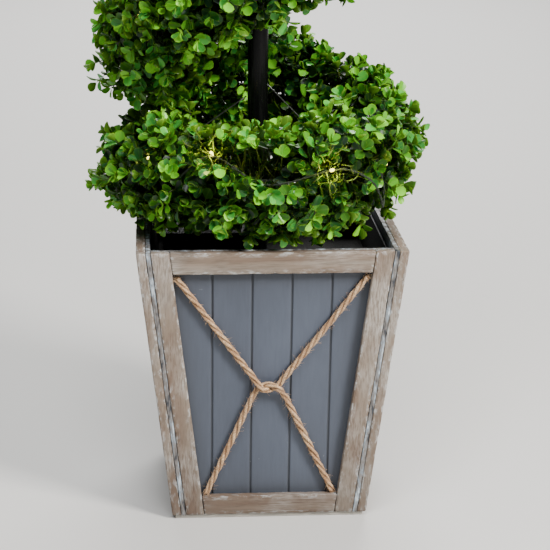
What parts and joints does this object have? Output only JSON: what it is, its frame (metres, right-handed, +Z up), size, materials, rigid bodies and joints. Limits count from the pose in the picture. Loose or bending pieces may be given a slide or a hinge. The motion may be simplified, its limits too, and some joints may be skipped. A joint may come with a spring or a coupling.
{
  "type": "artificial tabletop tree",
  "caption": "Pre-lit artificial boxwood spiral on a pole, potted in a tapered square wooden planter with grooved panels and a hooked rope cross.",
  "frame": {"origin": "middle of the bottom board's underside, on the surface that the planter stands on", "axes": "+Z up along the pole; -Y towards the front, where the rope cross is; +X to the right seen from the front"},
  "size_m": [0.2564, 0.2701, 0.914],
  "materials": {
    "frame_wood": "matte",
    "panel_paint": "matte",
    "board_wood": "matte",
    "jute_rope": "matte",
    "pot_plastic": "satin",
    "ballast_cement": "matte",
    "pole_paint": "gloss",
    "coil_wire_paint": "satin",
    "stay_steel": "satin",
    "leaf_plastic": "satin",
    "light_wire": "satin",
    "light_bulb": "gloss",
    "box_plastic": "satin",
    "cell_metal": "satin"
  },
  "bodies": {
    "planter": {"back_panel": "panel_paint", "back_rail_base": "frame_wood", "back_rail_top": "frame_wood", "back_stile_left": "frame_wood", "back_stile_right": "frame_wood", "bottom_board": "board_wood", "front_panel": "panel_paint", "front_rail_base": "frame_wood", "front_rail_top": "frame_wood", "front_stile_left": "frame_wood", "front_stile_right": "frame_wood", "left_panel": "panel_paint", "left_rail_base": "frame_wood", "left_rail_top": "frame_wood", "left_stile_left": "frame_wood", "left_stile_right": "frame_wood", "right_panel": "panel_paint", "right_rail_base": "frame_wood", "right_rail_top": "frame_wood", "right_stile_left": "frame_wood", "right_stile_right": "frame_wood", "rope_lower": "jute_rope", "rope_upper": "jute_rope"},
    "tree": {"ballast": "ballast_cement", "battery_box": "box_plastic", "battery_cell_1": "cell_metal", "battery_cell_2": "cell_metal", "battery_cell_3": "cell_metal", "coil_wire": "coil_wire_paint", "foliage_1": "leaf_plastic", "foliage_2": "leaf_plastic", "foliage_3": "leaf_plastic", "foliage_4": "leaf_plastic", "foliage_5": "leaf_plastic", "foliage_6": "leaf_plastic", "foliage_7": "leaf_plastic", "foliage_8": "leaf_plastic", "foliage_9": "leaf_plastic", "foliage_top": "leaf_plastic", "light_string": "light_wire", "pole": "pole_paint", "pole_cap": "pot_plastic", "pot_liner": "pot_plastic", "stay_wire_1": "stay_steel", "stay_wire_2": "stay_steel", "stay_wire_3": "stay_steel", "stay_wire_4": "stay_steel", "stay_wire_5": "stay_steel", "stay_wire_6": "stay_steel", "stay_wire_7": "stay_steel", "stay_wire_8": "stay_steel", "stay_wire_9": "stay_steel"},
    "battery_cover": {"battery_cover": "box_plastic"},
    "switch_knob": {"switch_knob": "box_plastic"}
  },
  "joints": [
    {"name": "tree_lift", "type": "slide", "parent": "planter", "child": "tree", "axis": [0, 0, 1], "range_m": [0, 0.25]},
    {"name": "battery_cover_slide", "type": "slide", "parent": "tree", "child": "battery_cover", "axis": [1, 0, 0], "range_m": [0, 0.06]},
    {"name": "light_switch", "type": "slide", "parent": "tree", "child": "switch_knob", "axis": [0, -1, 0], "range_m": [0, 0.004]}
  ]
}
